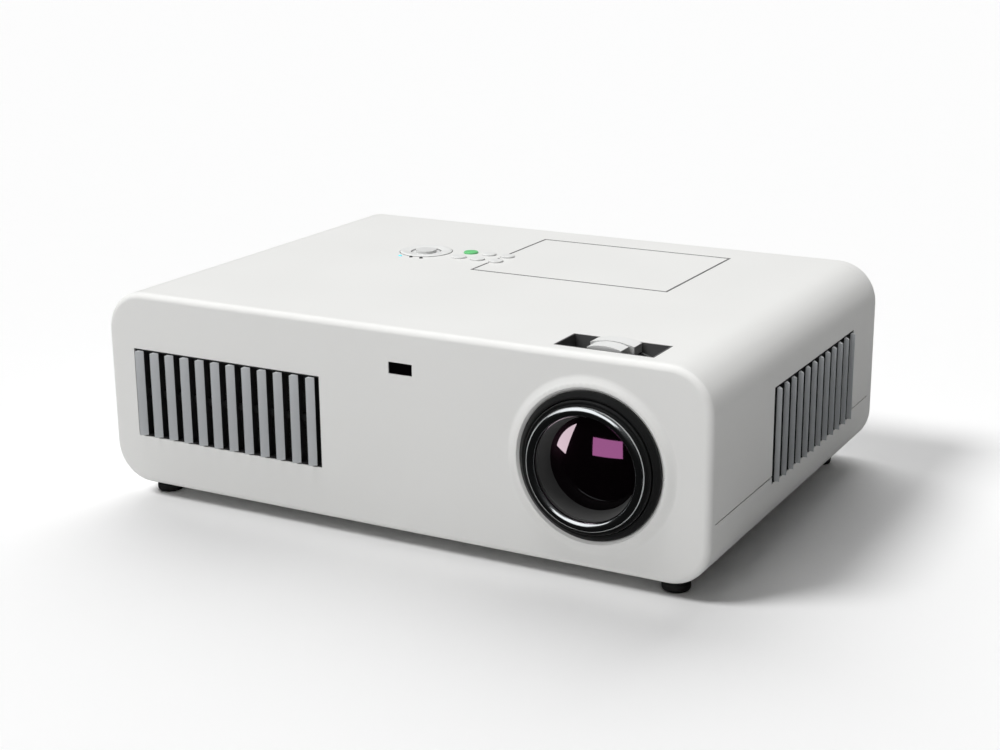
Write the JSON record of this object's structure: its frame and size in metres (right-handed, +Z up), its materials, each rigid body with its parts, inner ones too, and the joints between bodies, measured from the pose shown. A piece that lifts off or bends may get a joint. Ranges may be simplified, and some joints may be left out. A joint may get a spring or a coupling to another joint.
{
  "type": "data projector",
  "caption": "Free-standing data projector: white moulded housing with a focusing lens, louvred grilles, lens levers, control buttons, lamp cover and threaded feet.",
  "frame": {"origin": "middle of the outer box, at the underside of the feet", "axes": "+Z up, +Y from the lens towards the sockets at the back, +X towards the lens side as seen from the front"},
  "size_m": [0.3024, 0.2164, 0.1],
  "materials": {
    "white_plastic": "fine satin",
    "silver_plastic": "silver satin",
    "black_plastic": "satin",
    "hood_plastic": "satin",
    "grey_plastic": "satin",
    "green_plastic": "satin",
    "window_plastic": "polished",
    "clear_light": "polished",
    "bright_trim": "bright",
    "lens_glass": "coated",
    "mirror_coat": "polished",
    "foam": "open foam",
    "foot_rubber": "matt",
    "steel": "plated",
    "brass": "turned",
    "cast_frame": "cast",
    "board": "lacquered"
  },
  "bodies": {
    "housing": {"front_cover": "white_plastic", "upper_case": "white_plastic", "lower_case": "white_plastic", "rear_cover": "white_plastic", "front_slats": "silver_plastic", "side_slats": "silver_plastic", "front_carrier": "black_plastic", "side_carrier": "black_plastic", "lens_bezel": "black_plastic", "slot_bezel": "black_plastic", "lens_barrel": "black_plastic", "intake_fan_frame": "black_plastic", "exhaust_fan_frame": "black_plastic", "power_inlet": "black_plastic", "signal_sockets": "black_plastic", "speaker": "black_plastic", "optical_base": "black_plastic", "ir_window": "window_plastic", "power_light": "clear_light", "warning_lights": "clear_light", "rear_lens": "lens_glass", "relay_lenses": "lens_glass", "prism_block": "lens_glass", "picture_panels": "lens_glass", "lamp_bulb": "lens_glass", "dichroic_mirrors": "mirror_coat", "folding_mirrors": "mirror_coat", "lamp_reflector": "mirror_coat", "dust_filter": "foam", "rear_feet": "foot_rubber", "case_screws": "steel", "threaded_inserts": "brass", "lamp_housing": "cast_frame", "control_board": "board", "main_board": "board", "power_boards": "board"},
    "lamp_cover": {"lamp_cover": "white_plastic"},
    "power_button": {"power_button": "green_plastic"},
    "source_button": {"source_button": "grey_plastic"},
    "menu_button": {"menu_button": "grey_plastic"},
    "keystone_button": {"keystone_button": "grey_plastic"},
    "auto_button": {"auto_button": "grey_plastic"},
    "blank_button": {"blank_button": "grey_plastic"},
    "enter_button": {"enter_button": "grey_plastic"},
    "navigation_gimbal": {"navigation_gimbal": "grey_plastic"},
    "navigation_ring": {"navigation_ring": "grey_plastic"},
    "focus_ring": {"focus_ring": "grey_plastic"},
    "focus_barrel": {"focus_barrel": "black_plastic", "trim_ring": "bright_trim", "lens_hood": "hood_plastic", "front_lens": "lens_glass"},
    "zoom_ring": {"zoom_ring": "grey_plastic"},
    "zoom_barrel": {"zoom_barrel": "black_plastic", "zoom_lens": "lens_glass"},
    "intake_rotor": {"intake_fan_rotor": "black_plastic"},
    "exhaust_rotor": {"exhaust_fan_rotor": "black_plastic"},
    "left_stem": {"left_foot_stem": "steel"},
    "left_foot": {"left_foot": "foot_rubber"},
    "right_stem": {"right_foot_stem": "steel"},
    "right_foot": {"right_foot": "foot_rubber"}
  },
  "joints": [
    {"name": "lamp_cover_lift", "type": "slide", "parent": "housing", "child": "lamp_cover", "axis": [0, 0, 1], "range_m": [0, 0.03]},
    {"name": "power_button_press", "type": "slide", "parent": "housing", "child": "power_button", "axis": [0, 0, -1], "range_m": [0, 0.0006], "stiffness_N_per_m": 800, "springref_m": -0.0003},
    {"name": "source_button_press", "type": "slide", "parent": "housing", "child": "source_button", "axis": [0, 0, -1], "range_m": [0, 0.0006], "stiffness_N_per_m": 800, "springref_m": -0.0003},
    {"name": "menu_button_press", "type": "slide", "parent": "housing", "child": "menu_button", "axis": [0, 0, -1], "range_m": [0, 0.0006], "stiffness_N_per_m": 800, "springref_m": -0.0003},
    {"name": "keystone_button_press", "type": "slide", "parent": "housing", "child": "keystone_button", "axis": [0, 0, -1], "range_m": [0, 0.0006], "stiffness_N_per_m": 800, "springref_m": -0.0003},
    {"name": "auto_button_press", "type": "slide", "parent": "housing", "child": "auto_button", "axis": [0, 0, -1], "range_m": [0, 0.0006], "stiffness_N_per_m": 800, "springref_m": -0.0003},
    {"name": "blank_button_press", "type": "slide", "parent": "housing", "child": "blank_button", "axis": [0, 0, -1], "range_m": [0, 0.0006], "stiffness_N_per_m": 800, "springref_m": -0.0003},
    {"name": "enter_button_press", "type": "slide", "parent": "housing", "child": "enter_button", "axis": [0, 0, -1], "range_m": [0, 0.0006], "stiffness_N_per_m": 800, "springref_m": -0.0003},
    {"name": "navigation_tilt_y", "type": "hinge", "parent": "housing", "child": "navigation_gimbal", "pos_m": [-0.0608, 0.0333, 0.093], "axis": [1, 0, 0], "range_deg": [-2.5, 2.5], "stiffness_Nm_per_rad": 0.45},
    {"name": "navigation_tilt_x", "type": "hinge", "parent": "navigation_gimbal", "child": "navigation_ring", "pos_m": [-0.0608, 0.0333, 0.093], "axis": [0, 1, 0], "range_deg": [-2.5, 2.5], "stiffness_Nm_per_rad": 0.45},
    {"name": "focus_ring_turn", "type": "hinge", "parent": "housing", "child": "focus_ring", "pos_m": [0.0967, -0.08885, 0.0521], "axis": [0, 1, 0], "range_deg": [-15, 15]},
    {"name": "focus_barrel_slide", "type": "slide", "parent": "housing", "child": "focus_barrel", "axis": [0, -1, 0], "range_m": [-0.0015, 0.0015]},
    {"name": "zoom_ring_turn", "type": "hinge", "parent": "housing", "child": "zoom_ring", "pos_m": [0.0967, -0.08095, 0.0521], "axis": [0, 1, 0], "range_deg": [-12, 12]},
    {"name": "zoom_barrel_slide", "type": "slide", "parent": "housing", "child": "zoom_barrel", "axis": [0, -1, 0], "range_m": [-0.0025, 0.0025]},
    {"name": "intake_fan_spin", "type": "hinge", "parent": "housing", "child": "intake_rotor", "pos_m": [-0.08555, -0.0773, 0.0521], "axis": [0, 1, 0], "continuous": true},
    {"name": "exhaust_fan_spin", "type": "hinge", "parent": "housing", "child": "exhaust_rotor", "pos_m": [0.1352, 0.0517, 0.0521], "axis": [1, 0, 0], "continuous": true},
    {"name": "left_foot_height", "type": "slide", "parent": "housing", "child": "left_stem", "axis": [0, 0, -1], "range_m": [0, 0.008]},
    {"name": "left_foot_turn", "type": "hinge", "parent": "left_stem", "child": "left_foot", "pos_m": [-0.1317, -0.0889, 0.0035], "axis": [0, 0, -1], "range_deg": [0, 2880]},
    {"name": "right_foot_height", "type": "slide", "parent": "housing", "child": "right_stem", "axis": [0, 0, -1], "range_m": [0, 0.008]},
    {"name": "right_foot_turn", "type": "hinge", "parent": "right_stem", "child": "right_foot", "pos_m": [0.1293, -0.0889, 0.0035], "axis": [0, 0, -1], "range_deg": [0, 2880]}
  ],
  "couplings": [
    {"joint": "focus_ring_turn", "follows": "focus_barrel_slide", "rad_per_m": 174.53},
    {"joint": "zoom_ring_turn", "follows": "zoom_barrel_slide", "rad_per_m": 83.776},
    {"joint": "left_foot_turn", "follows": "left_foot_height", "rad_per_m": 6283.2},
    {"joint": "right_foot_turn", "follows": "right_foot_height", "rad_per_m": 6283.2}
  ]
}
